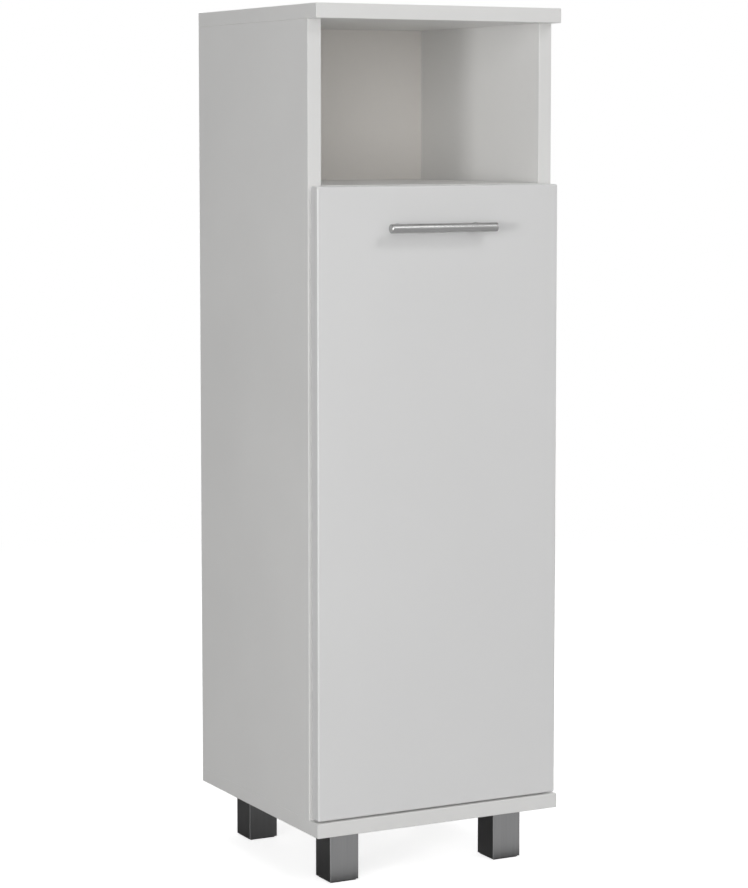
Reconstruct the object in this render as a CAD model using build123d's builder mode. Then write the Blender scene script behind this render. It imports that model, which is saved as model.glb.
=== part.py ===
from build123d import *
import os
from math import asin, atan, cos, degrees, hypot, radians, sin, tan

# Slim bathroom cabinet: an open niche above a tilt-out laundry front, on four square legs.
# Millimetres, +Z up, +X to the right seen from the front, the front towards -Y.
# The origin is on the floor, under the middle of the outline with the handle.

# Carcass
width = 300.0
depth = 300.0
height = 950.0
board = 16.0
board_edge_round = 0.8
niche_height = 175.0

# Back panel, in a groove that runs round all four boards
back_thickness = 3.0
back_inset = 8.0
groove_depth = 7.0
groove_fit = 0.2

# Front panel and its pivot, which lies inside the panel's lower edge
front_thickness = 16.0
front_setback = 2.0
front_side_inset = 2.0
front_top_drop = 1.0
front_edge_round = 2.0
pivot_depth = 6.0
pivot_rise = 8.0
tilt_max = 35.0
swing_clearance = 0.4

# Bar handle
handle_length = 130.0
handle_radius = 5.0
handle_end_chamfer = 0.6
handle_standoff = 18.0
handle_drop = 45.0
handle_shift = -5.0
post_spacing = 96.0
post_radius = 3.5
post_foot_radius = 5.0
post_foot_height = 2.0
handle_screw_radius = 2.0
handle_screw_grip = 9.0
handle_screw_head_radius = 4.0
handle_screw_head_height = 2.4

# Legs
leg_height = 60.0
leg_size = 35.0
leg_inset = 30.0
leg_wall = 2.5
leg_edge_round = 1.0
leg_web = 4.0
leg_web_height = 20.0
leg_fit = 0.2
socket_plate = 3.0
socket_post_radius = 7.0
socket_rib = 2.0
socket_rib_height = 12.0
socket_screw_margin = 1.0
leg_bolt_radius = 3.0
leg_bolt_grip = 15.0
leg_bolt_head_radius = 5.0
leg_bolt_head_height = 4.0
glide_lip = 1.5
glide_lip_inset = 2.0
glide_plug = 6.0

# Wood screw that holds all the hardware
screw_radius = 1.75
screw_head_radius = 3.5
screw_head_angle = 90.0
screw_length = 13.0
tip_room = 1.0
fit = 0.05

# Connector screws, dowels and the shelf's cam locks
connector_radius = 3.0
connector_length = 44.0
connector_head_radius = 4.8
connector_head_height = 3.0
connector_sink = 3.0
connector_from_end = 45.0
dowel_radius = 4.0
dowel_length = 30.0
dowel_chamfer = 1.0
dowel_in_board = 11.0
dowel_from_end = 85.0
cam_radius = 7.5
cam_height = 12.5
cam_from_side = 34.0
cam_bolt_radius = 3.0
cam_bolt_in_side = 11.0

# Concealed hinges: a cup with a pivot pin, and a cranked arm on the bottom board
hinge_spacing = 150.0
cup_radius = 17.5
cup_wall = 0.9
cup_floor = 0.6
cup_floor_round = 1.2
cup_from_edge = 3.0
cup_flange = 1.2
cup_flange_lip = 0.8
cup_wing_length = 62.0
cup_wing_height = 14.0
cup_wing_round = 4.5
cup_screw_spacing = 48.0
pin_radius = 1.25
pin_fit = 0.025
pin_clearance = 0.05
eye_wall = 1.1
eye_clearance = 0.3
cheek = 2.0
cheek_below_pin = 2.8
cheek_above_pin = 4.0
arm_width = 10.0
arm_thickness = 2.0
arm_hump = 15.0
arm_reach = 20.0
arm_bend = 6.0
arm_plate_width = 28.0
arm_plate_length = 30.0
arm_plate_round = 2.0
arm_screw_spacing = 18.0

# Quadrant stays, arcs about the pivot, with their guides on the sides
stay_radius = 300.0
stay_width = 12.0
stay_thickness = 3.0
stay_from_side = 3.5
stay_clearance = 0.3
stay_foot_width = 20.0
stay_foot_height = 36.0
stay_foot_round = 1.5
stay_bend = 2.0
stay_screw_spacing = 24.0
stop_radius = 5.0
stop_height = 4.0
guide_setback = 30.0
guide_length = 18.0
guide_wall = 2.5
guide_rim = 4.0
guide_ear = 3.0
guide_ear_length = 12.0
guide_ear_round = 3.0
guide_rim_round = 1.5

# Magnetic catch under the shelf, its strike plate on the front panel, and bumper pads
catch_width = 46.0
catch_depth = 18.0
catch_height = 13.0
catch_ear = 3.0
catch_ear_round = 3.0
catch_wall = 1.5
catch_screw_spacing = 34.0
magnet_width = 20.0
magnet_height = 8.0
magnet_depth = 7.0
strike_width = 40.0
strike_height = 12.0
strike_thickness = 1.5
strike_round = 1.5
catch_gap = 0.3
bumper_radius = 4.0
bumper_gap = 0.3
bumper_from_end = 40.0

# Wire frame on the front panel, and the laundry bag that hangs on it
wire_radius = 3.0
wire_bend = 20.0
wire_gap = 1.0
frame_width = 216.0
frame_reach = 220.0
frame_below_shelf = 63.0
frame_leg = 110.0
cross_rod_offset = 30.0
clip_width = 32.0
clip_length = 10.0
clip_wall = 2.3
clip_ear = 3.0
clip_ear_round = 3.0
clip_fit = 0.2
clip_screw_spacing = 22.0
clip_drops = (38.0, 98.0)
bag_above_floor = 50.0
bag_cloth = 1.5
bag_taper = 14.0
sleeve_fit = 0.3
sleeve_corner_room = 6.0

screw_head_height = (screw_head_radius - screw_radius) / tan(radians(screw_head_angle / 2))

# A panel that turns about a pivot inside its lower edge needs room below and behind that edge
edge_ahead = pivot_depth - front_edge_round
edge_below = pivot_rise - front_edge_round
edge_behind = front_thickness - pivot_depth - front_edge_round
front_bottom_gap = hypot(edge_ahead, edge_below) - edge_below + swing_clearance
front_rear_gap = hypot(edge_behind, edge_below) - edge_behind + swing_clearance

# Planes that the pieces share
handle_projection = handle_standoff + handle_radius - front_setback
y_rear = (depth + handle_projection) / 2
y_front = y_rear - depth
y_panel = y_front + front_setback
y_panel_rear = y_panel + front_thickness
y_side = y_panel_rear + front_rear_gap
y_back_rear = y_rear - back_inset
y_back = y_back_rear - back_thickness
x_outer = width / 2
x_inner = x_outer - board
x_side_middle = x_outer - board / 2
z_bottom = leg_height
z_floor = leg_height + board
z_top = height - board
z_shelf = z_top - niche_height
z_shelf_under = z_shelf - board
z_panel = z_floor + front_bottom_gap
z_panel_top = z_shelf - front_top_drop
y_pivot = y_panel + pivot_depth
z_pivot = z_panel + pivot_rise

SIDES = {"left": -1, "right": 1}
UP = (0, 0, 1)
DOWN = (0, 0, -1)
TO_FRONT = (0, -1, 0)
TO_REAR = (0, 1, 0)
HANGING = (Align.CENTER, Align.CENTER, Align.MAX)
STANDING = (Align.CENTER, Align.CENTER, Align.MIN)

os.makedirs("parts", exist_ok=True)


def save(piece, name):
    """Label a finished piece and write it to its own STEP file."""
    piece.part.label = name
    export_step(piece.part, f"parts/{name}.step")


def seat(x, y, z, normal):
    """Place on a surface, with the local +Z along the surface's outward normal."""
    return Plane(origin=(x, y, z), z_dir=normal).location


def block(low, high, mode=Mode.ADD):
    """Box between two opposite corners, in the part that is being built."""
    middle = tuple((a + b) / 2 for a, b in zip(low, high))
    with Locations(middle):
        Box(*(b - a for a, b in zip(low, high)), mode=mode)


def screw_holes(seats):
    """Countersunk holes for the wood screws whose heads lie on these seats."""
    with Locations(*seats):
        CounterSinkHole(
            screw_radius + fit,
            screw_head_radius + fit,
            screw_length + tip_room,
            counter_sink_angle=screw_head_angle,
        )


def save_wood_screws(seats, name):
    """One countersunk wood screw on each seat, its head flush with the seat."""
    with BuildPart() as screws:
        with Locations(*seats):
            Cylinder(screw_radius, screw_length, align=HANGING)
            Cone(screw_radius, screw_head_radius, screw_head_height, align=HANGING)
    save(screws, name)


# Where the boards are joined
connector_rows = (y_side + connector_from_end, y_rear - connector_from_end)
dowel_rows = (y_side + dowel_from_end, y_rear - dowel_from_end)
board_ends = [(s * x_side_middle, y) for s in SIDES.values() for y in connector_rows]
dowel_ends = [(s * x_side_middle, y) for s in SIDES.values() for y in dowel_rows]
top_connectors = [seat(x, y, height, UP) for x, y in board_ends]
bottom_connectors = [seat(x, y, z_bottom, DOWN) for x, y in board_ends]
top_dowels = [seat(x, y, z_top, UP) for x, y in dowel_ends]
bottom_dowels = [seat(x, y, z_floor, DOWN) for x, y in dowel_ends]
z_shelf_middle = z_shelf - board / 2
cam_x = x_inner - cam_from_side
shelf_dowels = []
shelf_bolts = []
cam_seats = []
for s in SIDES.values():
    shelf_dowels += [seat(s * x_inner, y, z_shelf_middle, (s, 0, 0)) for y in dowel_rows]
    shelf_bolts += [seat(s * x_inner, y, z_shelf_middle, (s, 0, 0)) for y in connector_rows]
    cam_seats += [seat(s * cam_x, y, z_shelf_under, DOWN) for y in connector_rows]

# Where the legs stand
leg_x = x_outer - leg_inset - leg_size / 2
leg_rows = {
    "front": y_front + leg_inset + leg_size / 2,
    "rear": y_rear - leg_inset - leg_size / 2,
}
leg_places = {
    f"leg_{end}_{side}": (s * leg_x, y)
    for end, y in leg_rows.items()
    for side, s in SIDES.items()
}
leg_inner = leg_size - 2 * leg_wall
socket_width = leg_inner - 2 * leg_fit
socket_screw_offset = socket_width / 2 - screw_head_radius - socket_screw_margin
socket_seats = [
    seat(x + k * socket_screw_offset, y + k * socket_screw_offset, z_bottom - socket_plate, DOWN)
    for x, y in leg_places.values()
    for k in (-1, 1)
]

# Where the hinges, stays, catch, wire frame and handle are fastened
hinge_x = hinge_spacing / 2
z_cup = z_panel + cup_from_edge + cup_radius
eye_radius = pin_radius + pin_clearance + eye_wall
cup_depth = front_thickness - pivot_depth + eye_radius + eye_clearance + cup_floor
cup_seats = [
    seat(s * hinge_x + k * cup_screw_spacing / 2, y_panel_rear + cup_flange, z_cup, TO_REAR)
    for s in SIDES.values()
    for k in (-1, 1)
]
y_arm_plate = y_pivot + arm_reach + arm_bend
y_arm_screws = y_arm_plate + arm_plate_length / 2
arm_seats = [
    seat(s * hinge_x + k * arm_screw_spacing / 2, y_arm_screws, z_floor + arm_thickness, UP)
    for s in SIDES.values()
    for k in (-1, 1)
]
stay_outer = x_inner - stay_from_side
stay_inner = stay_outer - stay_thickness
stay_foot_x = stay_outer - stay_foot_width / 2
z_stay_foot = z_pivot + stay_radius
stay_screw_x = stay_inner - (stay_foot_width - stay_thickness) / 2
y_stay_foot = y_panel_rear + stay_thickness
stay_seats = [
    seat(s * stay_screw_x, y_stay_foot, z_stay_foot + k * stay_screw_spacing / 2, TO_REAR)
    for s in SIDES.values()
    for k in (-1, 1)
]
guide_angle = degrees(asin((y_side + guide_setback - y_pivot) / stay_radius))
guide_half_angle = degrees(guide_length / 2 / stay_radius)
stop_half_angle = degrees((stop_radius + swing_clearance) / stay_radius)
stop_angle = guide_angle + guide_half_angle + tilt_max + stop_half_angle
guide_reach = stay_width / 2 + guide_rim + guide_ear_length / 2
y_guide = y_pivot + stay_radius * sin(radians(guide_angle))
z_guide = z_pivot + stay_radius * cos(radians(guide_angle))
guide_seats = {
    side: [
        seat(
            s * (x_inner - guide_ear),
            y_pivot + (stay_radius + k * guide_reach) * sin(radians(guide_angle)),
            z_pivot + (stay_radius + k * guide_reach) * cos(radians(guide_angle)),
            (-s, 0, 0),
        )
        for k in (-1, 1)
    ]
    for side, s in SIDES.items()
}
y_catch = y_panel_rear + strike_thickness + catch_gap
z_catch = z_shelf_under - catch_height / 2
catch_seats = [
    seat(k * catch_screw_spacing / 2, y_catch + catch_depth / 2, z_shelf_under - catch_ear, DOWN)
    for k in (-1, 1)
]
strike_seats = [seat(0, y_panel_rear + strike_thickness, z_catch, TO_REAR)]
y_wire = y_panel_rear + wire_gap + wire_radius
z_wire = z_shelf_under - frame_below_shelf
wire_x = frame_width / 2
clip_places = [(s * wire_x, z_wire - drop) for s in SIDES.values() for drop in clip_drops]
clip_seats = [
    seat(x + k * clip_screw_spacing / 2, y_panel_rear + clip_ear, z, TO_REAR)
    for x, z in clip_places
    for k in (-1, 1)
]
z_handle = z_panel_top - handle_drop
y_handle = y_panel - handle_standoff
post_places = [(handle_shift + k * post_spacing / 2, z_handle) for k in (-1, 1)]

# Top and bottom boards: full width, grooved for the back panel
for name, z_low, z_inner, connector_seats, dowel_seats in (
    ("top_board", z_top, z_top, top_connectors, top_dowels),
    ("bottom_board", z_bottom, z_floor, bottom_connectors, bottom_dowels),
):
    with BuildPart() as flat_board:
        block((-x_outer, y_front, z_low), (x_outer, y_rear, z_low + board))
        fillet(flat_board.edges(), board_edge_round)
        block(
            (-x_inner - groove_depth, y_back - groove_fit, z_inner - groove_depth),
            (x_inner + groove_depth, y_back_rear + groove_fit, z_inner + groove_depth),
            mode=Mode.SUBTRACT,
        )
        with Locations(*connector_seats):
            CounterBoreHole(
                connector_radius + fit,
                connector_head_radius + fit,
                connector_sink + connector_head_height,
                board,
            )
        with Locations(*dowel_seats):
            Hole(dowel_radius + fit, depth=dowel_in_board + fit)
        if name == "bottom_board":
            screw_holes(socket_seats + arm_seats)
    save(flat_board, name)

# Sides: between the boards, grooved at the rear, drilled for the shelf and the stay guides
for side, s in SIDES.items():
    with BuildPart() as side_panel:
        block(
            (min(s * x_inner, s * x_outer), y_side, z_floor),
            (max(s * x_inner, s * x_outer), y_rear, z_top),
        )
        fillet(side_panel.edges().filter_by(Axis.Z), board_edge_round)
        block(
            (s * x_inner - groove_depth, y_back - groove_fit, z_floor),
            (s * x_inner + groove_depth, y_back_rear + groove_fit, z_top),
            mode=Mode.SUBTRACT,
        )
        with Locations(*top_connectors, *bottom_connectors):
            Hole(connector_radius + fit, depth=connector_sink + connector_length + tip_room)
        with Locations(*top_dowels, *bottom_dowels):
            Hole(dowel_radius + fit, depth=dowel_length - dowel_in_board + tip_room)
        with Locations(*shelf_dowels):
            Hole(dowel_radius + fit, depth=dowel_in_board + fit)
        with Locations(*shelf_bolts):
            Hole(cam_bolt_radius + fit, depth=cam_bolt_in_side + fit)
        screw_holes(guide_seats[side])
    save(side_panel, f"{side}_side")

# Niche shelf: between the sides, with its cams let in from below
with BuildPart() as niche_shelf:
    block((-x_inner, y_side, z_shelf_under), (x_inner, y_back, z_shelf))
    fillet(niche_shelf.faces().sort_by(Axis.Y)[0].edges().filter_by(Axis.X), board_edge_round)
    with Locations(*shelf_dowels):
        Hole(dowel_radius + fit, depth=dowel_length - dowel_in_board + tip_room)
    with Locations(*shelf_bolts):
        Hole(cam_bolt_radius + fit, depth=cam_from_side)
    with Locations(*cam_seats):
        Hole(cam_radius + fit, depth=cam_height + fit)
    screw_holes(catch_seats)
save(niche_shelf, "niche_shelf")

# Back panel: thin board in the grooves
back_entry = groove_depth - groove_fit
with BuildPart() as back_panel:
    block(
        (-x_inner - back_entry, y_back, z_floor - back_entry),
        (x_inner + back_entry, y_back_rear, z_top + back_entry),
    )
save(back_panel, "back_panel")

# Connector screws, and the plugs that close the holes in the top
with BuildPart() as connector_screws:
    with Locations(*top_connectors, *bottom_connectors):
        with Locations((0, 0, -connector_sink)):
            Cylinder(connector_head_radius, connector_head_height, align=HANGING)
            Cylinder(connector_radius, connector_length, align=HANGING)
save(connector_screws, "connector_screws")

with BuildPart() as top_plugs:
    with Locations(*top_connectors):
        Cylinder(connector_head_radius, connector_sink, align=HANGING)
save(top_plugs, "top_plugs")

# Dowels between the boards
with BuildPart() as dowels:
    with Locations(*top_dowels, *bottom_dowels, *shelf_dowels):
        with Locations((0, 0, dowel_in_board)):
            Cylinder(dowel_radius, dowel_length, align=HANGING)
    chamfer(dowels.edges().filter_by(GeomType.CIRCLE), dowel_chamfer)
save(dowels, "dowels")

# Shelf cams with the bolts that they pull tight
with BuildPart() as shelf_cam_bolts:
    with Locations(*shelf_bolts):
        with Locations((0, 0, cam_bolt_in_side)):
            Cylinder(cam_bolt_radius, cam_bolt_in_side + cam_from_side, align=HANGING)
save(shelf_cam_bolts, "shelf_cam_bolts")

with BuildPart() as shelf_cams:
    with Locations(*cam_seats):
        Cylinder(cam_radius, cam_height, align=HANGING)
    with Locations(*shelf_bolts):
        Hole(cam_bolt_radius + fit, depth=cam_from_side + fit)
save(shelf_cams, "shelf_cams")

# Legs: square sleeves with a web that the leg bolt pulls up against the socket's post
z_web_top = leg_web_height + leg_web
for name, (x, y) in leg_places.items():
    with BuildPart() as leg:
        with BuildSketch(Plane.XY.offset(glide_lip)):
            with Locations((x, y)):
                RectangleRounded(leg_size, leg_size, leg_edge_round)
        extrude(amount=leg_height - glide_lip)
        with BuildSketch(Plane.XY.offset(glide_lip)):
            with Locations((x, y)):
                Rectangle(leg_inner, leg_inner)
        extrude(amount=leg_height, mode=Mode.SUBTRACT)
        with BuildSketch(Plane.XY.offset(leg_web_height)):
            with Locations((x, y)):
                Rectangle(leg_inner, leg_inner)
                Circle(leg_bolt_radius + fit, mode=Mode.SUBTRACT)
        extrude(amount=leg_web)
    save(leg, name)

with BuildPart() as leg_sockets:
    with BuildSketch(Plane.XY.offset(z_bottom - socket_plate)):
        with Locations(*leg_places.values()):
            Rectangle(socket_width, socket_width)
    extrude(amount=socket_plate)
    with BuildSketch(Plane.XY.offset(z_web_top)):
        with Locations(*leg_places.values()):
            Circle(socket_post_radius)
    extrude(amount=z_bottom - socket_plate - z_web_top)
    with BuildSketch(Plane.XY.offset(z_bottom - socket_plate)):
        with Locations(*leg_places.values()):
            Rectangle(socket_width, socket_rib)
            Rectangle(socket_rib, socket_width)
    extrude(amount=-socket_rib_height)
    with Locations(*((x, y, z_web_top) for x, y in leg_places.values())):
        Hole(leg_bolt_radius + fit, depth=leg_bolt_grip + tip_room)
    screw_holes(socket_seats)
save(leg_sockets, "leg_sockets")
save_wood_screws(socket_seats, "leg_socket_screws")

with BuildPart() as leg_bolts:
    with Locations(*((x, y, leg_web_height) for x, y in leg_places.values())):
        Cylinder(leg_bolt_head_radius, leg_bolt_head_height, align=HANGING)
        Cylinder(leg_bolt_radius, leg_web + leg_bolt_grip, align=STANDING)
save(leg_bolts, "leg_bolts")

glide_width = leg_size - 2 * glide_lip_inset
with BuildPart() as leg_glides:
    with BuildSketch(Plane.XY):
        with Locations(*leg_places.values()):
            RectangleRounded(glide_width, glide_width, leg_edge_round)
    extrude(amount=glide_lip)
    with BuildSketch(Plane.XY.offset(glide_lip)):
        with Locations(*leg_places.values()):
            Rectangle(socket_width, socket_width)
    extrude(amount=glide_plug)
save(leg_glides, "leg_glides")

# Front panel: rounded all round, bored for the hinge cups and drilled for what it carries
with BuildPart() as front_panel:
    block(
        (-x_outer + front_side_inset, y_panel, z_panel),
        (x_outer - front_side_inset, y_panel_rear, z_panel_top),
    )
    fillet(front_panel.edges(), front_edge_round)
    with BuildSketch(Plane.XZ.offset(-y_panel_rear)):
        with Locations((-hinge_x, z_cup), (hinge_x, z_cup)):
            Circle(cup_radius + fit)
    extrude(amount=cup_depth, mode=Mode.SUBTRACT)
    screw_holes(cup_seats + stay_seats + clip_seats + strike_seats)
    with Locations(*(seat(x, y_panel_rear, z, TO_REAR) for x, z in post_places)):
        Hole(handle_screw_radius + fit, depth=front_thickness)
save(front_panel, "front_panel")

# Handle: a round bar on two posts, screwed on from behind the panel
with BuildPart() as handle_bar:
    with BuildSketch(Plane.YZ.offset(handle_shift - handle_length / 2)):
        with Locations((y_handle, z_handle)):
            Circle(handle_radius)
    extrude(amount=handle_length)
    chamfer(handle_bar.edges().filter_by(GeomType.CIRCLE), handle_end_chamfer)
save(handle_bar, "handle_bar")

with BuildPart() as handle_posts:
    with Locations(*(seat(x, y_panel, z, TO_FRONT) for x, z in post_places)):
        Cylinder(post_radius, handle_standoff, align=STANDING)
        Cylinder(post_foot_radius, post_foot_height, align=STANDING)
        Hole(handle_screw_radius + fit, depth=handle_screw_grip + tip_room)
    with BuildSketch(Plane.YZ.offset(handle_shift - handle_length / 2)):
        with Locations((y_handle, z_handle)):
            Circle(handle_radius + fit)
    extrude(amount=handle_length, mode=Mode.SUBTRACT)
save(handle_posts, "handle_posts")

with BuildPart() as handle_screws:
    with Locations(*(seat(x, y_panel_rear, z, TO_REAR) for x, z in post_places)):
        Cylinder(handle_screw_head_radius, handle_screw_head_height, align=STANDING)
        Cylinder(handle_screw_radius, front_thickness + handle_screw_grip, align=HANGING)
save(handle_screws, "handle_screws")

# Hinges: the cup with its two cheeks turns on the pin, and the arm's eye stays still
cheek_inner = arm_width / 2 + eye_clearance
cheek_outer = cheek_inner + cheek
y_cup_floor = y_panel_rear - cup_depth + cup_floor
for side, s in SIDES.items():
    x = s * hinge_x
    with BuildPart() as hinge_cup:
        with BuildSketch(Plane.XZ.offset(-y_panel_rear)):
            with Locations((x, z_cup)):
                Circle(cup_radius)
        extrude(amount=cup_depth)
        with BuildSketch(Plane.XZ.offset(-y_panel_rear)):
            with Locations((x, z_cup)):
                Circle(cup_radius + cup_flange_lip)
                RectangleRounded(cup_wing_length, cup_wing_height, cup_wing_round)
        extrude(amount=-cup_flange)
        with BuildSketch(Plane.XZ.offset(-y_panel_rear - cup_flange)):
            with Locations((x, z_cup)):
                Circle(cup_radius - cup_wall)
        extrude(amount=cup_flange + cup_depth - cup_floor, mode=Mode.SUBTRACT)
        outer_floor, inner_floor = (
            hinge_cup.edges().filter_by(GeomType.CIRCLE).group_by(Axis.Y)[:2]
        )
        fillet(outer_floor + inner_floor, cup_floor_round)
        for k in (-1, 1):
            cheek_x = sorted((x + k * cheek_inner, x + k * cheek_outer))
            block(
                (cheek_x[0], y_cup_floor, z_pivot - cheek_below_pin),
                (cheek_x[1], y_pivot + cheek_below_pin, z_pivot + cheek_above_pin),
            )
        with Locations(seat(x, y_pivot, z_pivot, (1, 0, 0))):
            Hole(pin_radius + pin_fit, depth=cheek_outer + fit)
        screw_holes([place for place in cup_seats if place.position.X * s > 0])
    save(hinge_cup, f"hinge_cup_{side}")

    with BuildPart() as hinge_arm:
        with BuildSketch(Plane.YZ.offset(x - arm_width / 2)):
            with BuildLine() as crank:
                FilletPolyline(
                    (y_pivot, z_pivot),
                    (y_pivot, z_pivot + arm_hump),
                    (y_pivot + arm_reach, z_pivot + arm_hump),
                    (y_pivot + arm_reach, z_floor + arm_thickness / 2),
                    (y_arm_plate + arm_plate_length, z_floor + arm_thickness / 2),
                    radius=arm_bend,
                )
            trace(crank.line, arm_thickness)
            with Locations((y_pivot, z_pivot)):
                Circle(eye_radius)
        extrude(amount=arm_width)
        with BuildSketch(Plane.XY.offset(z_floor)):
            with Locations((x, y_arm_screws)):
                RectangleRounded(arm_plate_width, arm_plate_length, arm_plate_round)
        extrude(amount=arm_thickness)
        with Locations(seat(x, y_pivot, z_pivot, (1, 0, 0))):
            Hole(pin_radius + pin_clearance, depth=arm_width)
        screw_holes([place for place in arm_seats if place.position.X * s > 0])
    save(hinge_arm, f"hinge_arm_{side}")

with BuildPart() as hinge_pins:
    with Locations(*(seat(s * hinge_x, y_pivot, z_pivot, (1, 0, 0)) for s in SIDES.values())):
        Cylinder(pin_radius, 2 * cheek_outer)
save(hinge_pins, "hinge_pins")
save_wood_screws(cup_seats, "hinge_cup_screws")
save_wood_screws(arm_seats, "hinge_arm_screws")


def arc_band(inner_radius, outer_radius, from_angle, to_angle):
    """Sketch of an arc about the pivot, its angles counted from straight up towards the rear."""
    start = 90 - to_angle
    sweep_angle = to_angle - from_angle
    with BuildLine() as outline:
        outer = CenterArc((y_pivot, z_pivot), outer_radius, start, sweep_angle)
        inner = CenterArc((y_pivot, z_pivot), inner_radius, start, sweep_angle)
        Line(outer @ 0, inner @ 0)
        Line(outer @ 1, inner @ 1)
    make_face(outline.edges())


# Quadrant stays: flat arcs on the front panel, each with a foot and a stop at its tail
stay_low = stay_radius - stay_width / 2
stay_high = stay_radius + stay_width / 2
tail_angle = stop_angle + stop_half_angle
for side, s in SIDES.items():
    bar_x = sorted((s * stay_inner, s * stay_outer))
    with BuildPart() as stay:
        with BuildSketch(Plane.YZ.offset(bar_x[0])):
            arc_band(stay_low, stay_high, 0, tail_angle)
        extrude(amount=stay_thickness)
        split(bisect_by=Plane.XZ.offset(-y_panel_rear), keep=Keep.BOTTOM)
        with BuildSketch(Plane.XZ.offset(-y_panel_rear)):
            with Locations((s * stay_foot_x, z_stay_foot)):
                RectangleRounded(stay_foot_width, stay_foot_height, stay_foot_round)
        extrude(amount=-stay_thickness)
        corner = (s * stay_inner, y_stay_foot, z_stay_foot)
        fillet(stay.edges().filter_by(Axis.Z).sort_by_distance(corner)[0], stay_bend)
        y_stop = y_pivot + stay_radius * sin(radians(stop_angle))
        z_stop = z_pivot + stay_radius * cos(radians(stop_angle))
        with Locations(seat(s * stay_inner, y_stop, z_stop, (-s, 0, 0))):
            Cylinder(stop_radius, stop_height, align=STANDING)
        screw_holes([place for place in stay_seats if place.position.X * s > 0])
    save(stay, f"stay_{side}")

    guide_x = s * (stay_inner - stay_clearance - guide_wall)
    with BuildPart() as guide:
        tangent = (0, cos(radians(guide_angle)), -sin(radians(guide_angle)))
        guide_plane = Plane(origin=(s * x_inner, y_guide, z_guide), x_dir=tangent, z_dir=(-s, 0, 0))
        with BuildSketch(guide_plane):
            RectangleRounded(guide_length, 2 * guide_reach + guide_ear_length, guide_ear_round)
        extrude(amount=guide_ear)
        with BuildSketch(guide_plane):
            RectangleRounded(guide_length, stay_width + 2 * guide_rim, guide_rim_round)
        extrude(amount=abs(s * x_inner - guide_x))
        with BuildSketch(Plane.YZ.offset(bar_x[0] - stay_clearance)):
            arc_band(stay_low - stay_clearance, stay_high + stay_clearance, 0, tail_angle)
        extrude(amount=stay_thickness + 2 * stay_clearance, mode=Mode.SUBTRACT)
        screw_holes(guide_seats[side])
    save(guide, f"stay_guide_{side}")

save_wood_screws(stay_seats, "stay_screws")
save_wood_screws(guide_seats["left"] + guide_seats["right"], "stay_guide_screws")

# Magnetic catch: a housing with two ears, the magnet in its front, and the strike plate
with BuildPart() as catch_housing:
    block(
        (-catch_width / 2, y_catch, z_shelf_under - catch_ear),
        (catch_width / 2, y_catch + catch_depth, z_shelf_under),
    )
    fillet(catch_housing.edges().filter_by(Axis.Z), catch_ear_round)
    block(
        (-magnet_width / 2 - catch_wall, y_catch, z_shelf_under - catch_height),
        (magnet_width / 2 + catch_wall, y_catch + catch_depth, z_shelf_under),
    )
    block(
        (-magnet_width / 2, y_catch, z_catch - magnet_height / 2),
        (magnet_width / 2, y_catch + magnet_depth, z_catch + magnet_height / 2),
        mode=Mode.SUBTRACT,
    )
    screw_holes(catch_seats)
save(catch_housing, "catch_housing")
save_wood_screws(catch_seats, "catch_screws")

with BuildPart() as catch_magnet:
    block(
        (-magnet_width / 2 + fit, y_catch, z_catch - magnet_height / 2 + fit),
        (magnet_width / 2 - fit, y_catch + magnet_depth, z_catch + magnet_height / 2 - fit),
    )
save(catch_magnet, "catch_magnet")

with BuildPart() as strike_plate:
    with BuildSketch(Plane.XZ.offset(-y_panel_rear)):
        with Locations((0, z_catch)):
            RectangleRounded(strike_width, strike_height, strike_round)
    extrude(amount=-strike_thickness)
    screw_holes(strike_seats)
save(strike_plate, "strike_plate")
save_wood_screws(strike_seats, "strike_screw")

# Bumper pads on the front edges of the sides
with BuildPart() as bumpers:
    with Locations(
        *(
            seat(s * x_side_middle, y_side, z, TO_FRONT)
            for s in SIDES.values()
            for z in (z_panel + bumper_from_end, z_panel_top - bumper_from_end)
        )
    ):
        Cylinder(bumper_radius, front_rear_gap - bumper_gap, align=STANDING)
save(bumpers, "bumpers")

# Wire frame: one bent wire with its ends down the panel, and a rod welded across
y_wire_rear = y_panel_rear + frame_reach
y_cross = y_panel_rear + cross_rod_offset
with BuildPart() as bag_frame:
    with BuildLine() as wire:
        FilletPolyline(
            (-wire_x, y_wire, z_wire - frame_leg),
            (-wire_x, y_wire, z_wire),
            (-wire_x, y_wire_rear, z_wire),
            (wire_x, y_wire_rear, z_wire),
            (wire_x, y_wire, z_wire),
            (wire_x, y_wire, z_wire - frame_leg),
            radius=wire_bend,
        )
    with BuildSketch(Plane(origin=wire.line @ 0, z_dir=wire.line % 0)):
        Circle(wire_radius)
    sweep(path=wire.line)
    with Locations(seat(0, y_cross, z_wire, (1, 0, 0))):
        Cylinder(wire_radius, frame_width)
save(bag_frame, "bag_frame")

# Saddle clips that hold the wire's ends on the panel
with BuildPart() as frame_clips:
    for x, z in clip_places:
        with BuildSketch(Plane.XY.offset(z - clip_length / 2)):
            with Locations((x, y_wire)):
                Circle(wire_radius + clip_fit + clip_wall)
            with Locations((x, y_panel_rear + clip_ear / 2)):
                Rectangle(clip_width, clip_ear)
            with Locations((x, y_panel_rear)):
                Rectangle(
                    clip_width, clip_width, align=(Align.CENTER, Align.MAX), mode=Mode.SUBTRACT
                )
                Rectangle(
                    2 * (wire_radius + clip_fit),
                    wire_gap + wire_radius,
                    align=(Align.CENTER, Align.MIN),
                    mode=Mode.SUBTRACT,
                )
            with Locations((x, y_wire)):
                Circle(wire_radius + clip_fit, mode=Mode.SUBTRACT)
        extrude(amount=clip_length)
    ear_corners = ShapeList()
    for clip in frame_clips.solids():
        upright = clip.edges().filter_by(Axis.Y).group_by(Axis.X)
        ear_corners += upright[0] + upright[-1]
    fillet(ear_corners, clip_ear_round)
    screw_holes(clip_seats)
save(frame_clips, "frame_clips")
save_wood_screws(clip_seats, "frame_clip_screws")

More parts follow.
